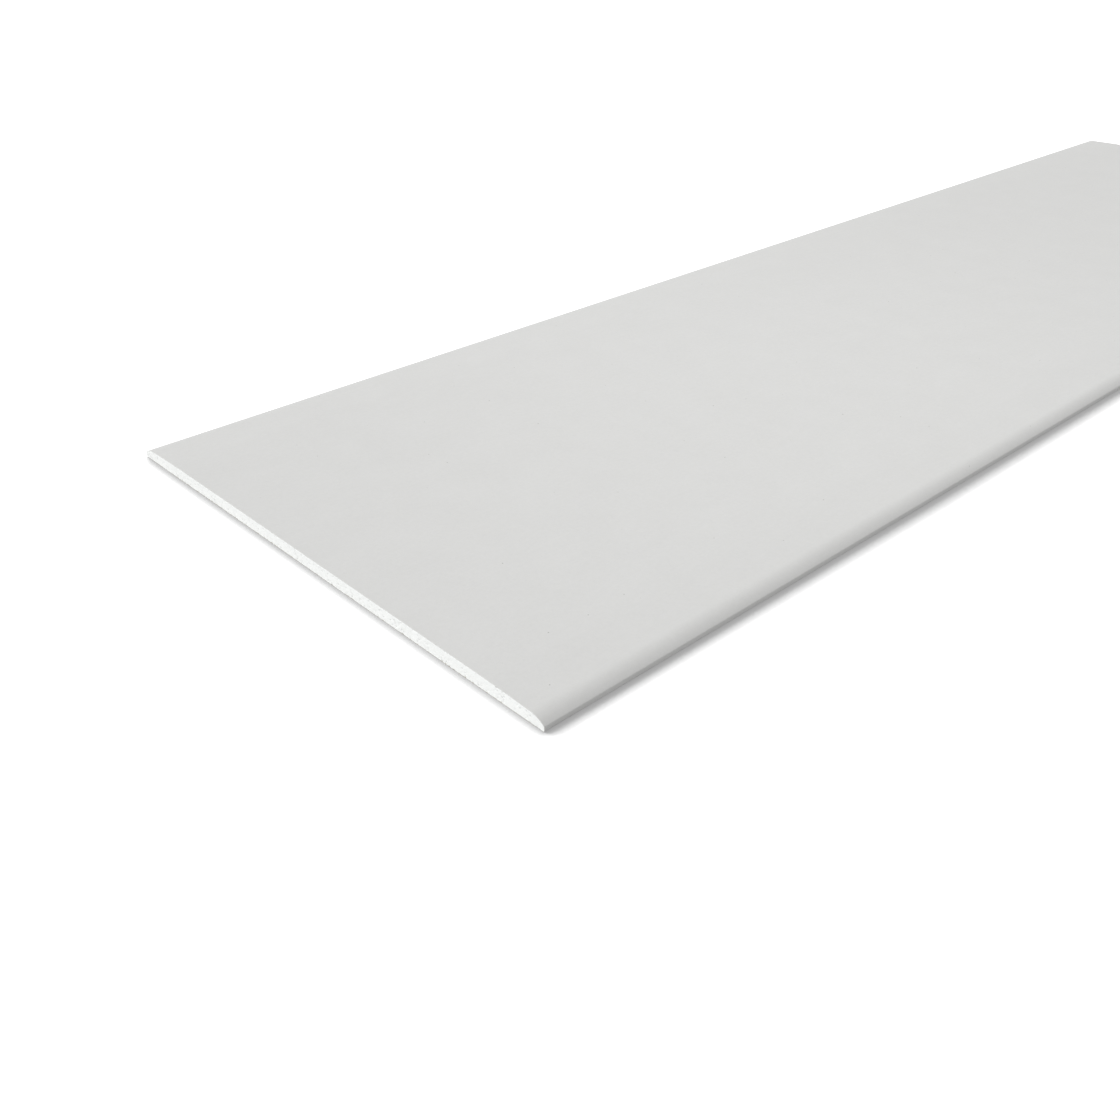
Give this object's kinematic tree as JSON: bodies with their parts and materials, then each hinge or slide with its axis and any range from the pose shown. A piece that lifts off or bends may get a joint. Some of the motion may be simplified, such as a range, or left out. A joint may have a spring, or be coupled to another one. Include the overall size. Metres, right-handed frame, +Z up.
{
  "type": "drywall sheet",
  "caption": "Paper-faced gypsum board with half-round tapered long edges and square-cut ends, for lining walls and ceilings.",
  "frame": {"origin": "centre of the board's underside, on the surface that it lies on", "axes": "+X along the board's length, +Y across its width, +Z up through its thickness, towards the face paper"},
  "size_m": [2, 0.6, 0.0125],
  "materials": {
    "gypsum": "matt white cast plaster, sawn and finely porous at the cut ends",
    "face_paper": "matt pale grey liner paper, faintly flecked with fibre",
    "back_paper": "matt warm grey recycled liner paper, flecked with fibre"
  },
  "bodies": {
    "root": {"gypsum_core": "gypsum", "face_paper": "face_paper", "back_paper": "back_paper"}
  },
  "joints": []
}
